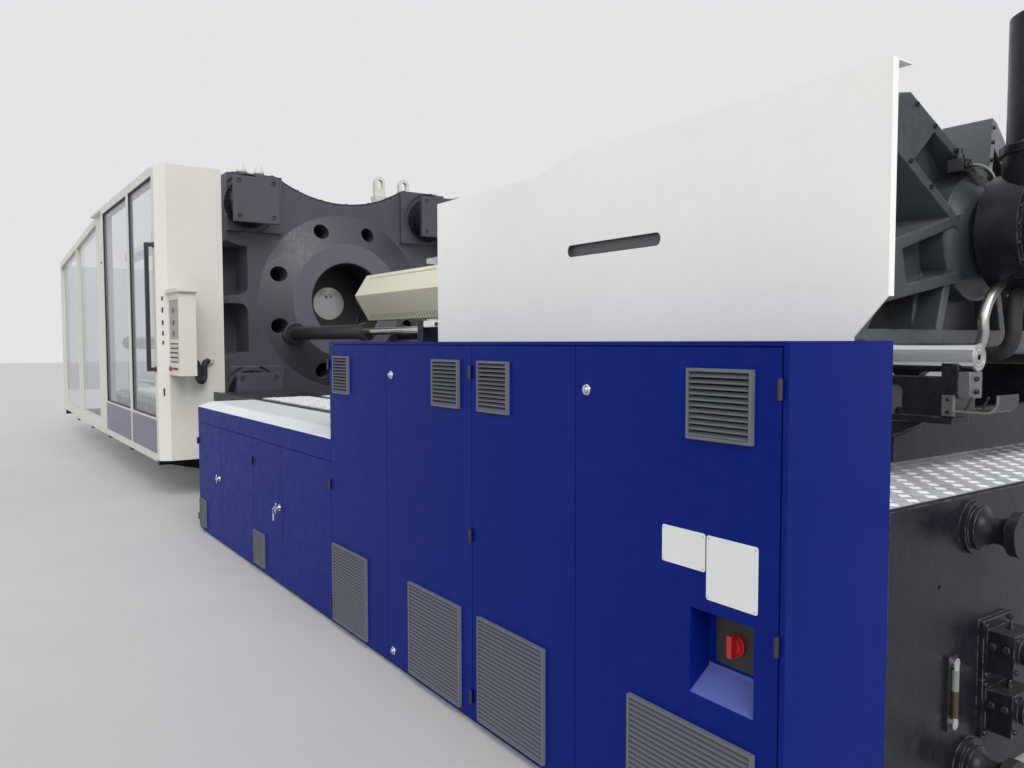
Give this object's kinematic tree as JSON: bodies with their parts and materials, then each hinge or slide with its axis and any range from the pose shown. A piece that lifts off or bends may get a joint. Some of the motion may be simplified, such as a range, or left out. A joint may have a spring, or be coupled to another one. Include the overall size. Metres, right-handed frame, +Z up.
{
  "type": "injection moulding machine",
  "caption": "Large two-platen plastic injection moulding machine with guarded clamp, open injection unit with hexagonal barrel cover and cast yoke, and blue control cabinets.",
  "frame": {"origin": "middle of the machine's footprint, on the floor", "axes": "+X from the clamp to the injection unit, -Y the operator's side, +Z up"},
  "size_m": [16.972, 4.58, 3.8599],
  "materials": {
    "bed_black": "satin near-black paint",
    "cast_grey": "satin graphite-purple paint on castings",
    "yoke_paint": "satin near-black paint on a casting",
    "cylinder_black": "satin black paint",
    "way_steel": "ground steel",
    "chromed_bar": "hard-chromed and polished",
    "foot_steel": "blackened steel",
    "tread": "embossed tread plate",
    "guard_cream": "satin warm off-white powder coat",
    "hood_cream": "satin pale cream paint",
    "clear_pane": "clear safety pane",
    "cabinet_blue": "semi-gloss deep royal blue powder coat",
    "handle_black": "matt black",
    "conduit_rubber": "ribbed black hose",
    "screen": "dark glossy display",
    "signal_red": "red plastic",
    "barrel_steel": "heat-tinted steel"
  },
  "bodies": {
    "machine": {"clamp_bed": "bed_black", "injection_bed": "bed_black", "slide_ways": "way_steel", "levelling_feet": "foot_steel", "tread_plates": "tread", "fixed_platen": "cast_grey", "clamp_cylinders": "bed_black", "cylinder_covers": "cast_grey", "tie_bars": "chromed_bar", "nozzle_plug": "way_steel", "lifting_lugs": "guard_cream", "breather_caps": "guard_cream", "guard_posts": "guard_cream", "front_guard_frame": "guard_cream", "rear_guard_frame": "guard_cream", "fixed_windows": "clear_pane", "operator_panel": "guard_cream", "panel_screen": "screen", "cable_conduit": "conduit_rubber", "stroke_rods": "chromed_bar", "carriage_cylinders": "cylinder_black", "side_guards": "guard_cream", "tall_cabinet": "cabinet_blue", "low_cabinet": "cabinet_blue", "cabinet_cover": "guard_cream", "cabinet_hinges": "foot_steel", "oil_gauge": "way_steel"},
    "platen": {"moving_platen": "cast_grey", "stroke_cylinders": "cylinder_black"},
    "nuts_front": {"nut_halves_front": "way_steel"},
    "nuts_rear": {"nut_halves_rear": "way_steel"},
    "ejector": {"ejector": "way_steel"},
    "front_door": {"front_door_frame": "guard_cream", "front_door_window": "clear_pane", "front_door_handle": "handle_black"},
    "rear_door": {"rear_door_frame": "guard_cream", "rear_door_window": "clear_pane", "rear_door_handle": "handle_black"},
    "tall_leaf_1": {"tall_door_1": "cabinet_blue", "switch_plate": "handle_black"},
    "tall_leaf_2": {"tall_door_2": "cabinet_blue"},
    "tall_leaf_3": {"tall_door_3": "cabinet_blue"},
    "tall_leaf_4": {"tall_door_4": "cabinet_blue"},
    "low_leaf_1": {"low_door_1": "cabinet_blue"},
    "low_leaf_2": {"low_door_2": "cabinet_blue"},
    "low_leaf_3": {"low_door_3": "cabinet_blue"},
    "low_leaf_4": {"low_door_4": "cabinet_blue"},
    "main_switch": {"switch_handle": "signal_red"},
    "stop_button": {"stop_button": "signal_red"},
    "carriage": {"carriage_frame": "bed_black", "barrel_block": "cast_grey", "barrel": "barrel_steel", "barrel_cover": "hood_cream", "guide_bars": "chromed_bar", "injection_cylinders": "cylinder_black", "carriage_rods": "chromed_bar"},
    "yoke": {"spider_yoke": "yoke_paint", "injection_rods": "chromed_bar", "screw_drive": "bed_black"},
    "screw": {"screw": "way_steel"}
  },
  "joints": [
    {"name": "clamp_stroke", "type": "slide", "parent": "machine", "child": "platen", "axis": [-1, 0, 0], "range_m": [0, 3.2]},
    {"name": "front_nuts_close", "type": "slide", "parent": "platen", "child": "nuts_front", "axis": [0, 1, 0], "range_m": [0, 0.064]},
    {"name": "rear_nuts_close", "type": "slide", "parent": "platen", "child": "nuts_rear", "axis": [0, -1, 0], "range_m": [0, 0.064]},
    {"name": "ejector_stroke", "type": "slide", "parent": "platen", "child": "ejector", "axis": [1, 0, 0], "range_m": [0, 0.3]},
    {"name": "front_door_slide", "type": "slide", "parent": "machine", "child": "front_door", "axis": [-1, 0, 0], "range_m": [0, 3.4]},
    {"name": "rear_door_slide", "type": "slide", "parent": "machine", "child": "rear_door", "axis": [-1, 0, 0], "range_m": [0, 3.4]},
    {"name": "tall_door_1_hinge", "type": "hinge", "parent": "machine", "child": "tall_leaf_1", "pos_m": [8.294, -2.207, 0.9], "axis": [0, 0, 1], "range_deg": [0, 85]},
    {"name": "low_door_1_hinge", "type": "hinge", "parent": "machine", "child": "low_leaf_1", "pos_m": [5.091, -2.207, 0.5], "axis": [0, 0, 1], "range_deg": [0, 85]},
    {"name": "tall_door_2_hinge", "type": "hinge", "parent": "machine", "child": "tall_leaf_2", "pos_m": [6.682, -2.207, 0.9], "axis": [0, 0, 1], "range_deg": [-85, 0]},
    {"name": "low_door_2_hinge", "type": "hinge", "parent": "machine", "child": "low_leaf_2", "pos_m": [3.581, -2.207, 0.5], "axis": [0, 0, 1], "range_deg": [-85, 0]},
    {"name": "tall_door_3_hinge", "type": "hinge", "parent": "machine", "child": "tall_leaf_3", "pos_m": [6.682, -2.207, 0.9], "axis": [0, 0, 1], "range_deg": [0, 85]},
    {"name": "low_door_3_hinge", "type": "hinge", "parent": "machine", "child": "low_leaf_3", "pos_m": [3.581, -2.207, 0.5], "axis": [0, 0, 1], "range_deg": [0, 85]},
    {"name": "tall_door_4_hinge", "type": "hinge", "parent": "machine", "child": "tall_leaf_4", "pos_m": [5.091, -2.207, 0.9], "axis": [0, 0, 1], "range_deg": [-85, 0]},
    {"name": "low_door_4_hinge", "type": "hinge", "parent": "machine", "child": "low_leaf_4", "pos_m": [2.019, -2.207, 0.5], "axis": [0, 0, 1], "range_deg": [-85, 0]},
    {"name": "main_switch_turn", "type": "hinge", "parent": "tall_leaf_1", "child": "main_switch", "pos_m": [8.0875, -2.122, 0.78], "axis": [0, 1, 0], "range_deg": [0, 90]},
    {"name": "stop_button_push", "type": "slide", "parent": "machine", "child": "stop_button", "axis": [0, 1, 0], "range_m": [0, 0.006], "stiffness_N_per_m": 1500},
    {"name": "carriage_stroke", "type": "slide", "parent": "machine", "child": "carriage", "axis": [-1, 0, 0], "range_m": [0, 0.9]},
    {"name": "injection_stroke", "type": "slide", "parent": "carriage", "child": "yoke", "axis": [-1, 0, 0], "range_m": [0, 0.85]},
    {"name": "screw_turn", "type": "hinge", "parent": "yoke", "child": "screw", "pos_m": [6.214, 0, 2.2], "axis": [1, 0, 0], "continuous": true}
  ],
  "couplings": [
    {"joint": "rear_nuts_close", "follows": "front_nuts_close", "ratio": 1}
  ]
}
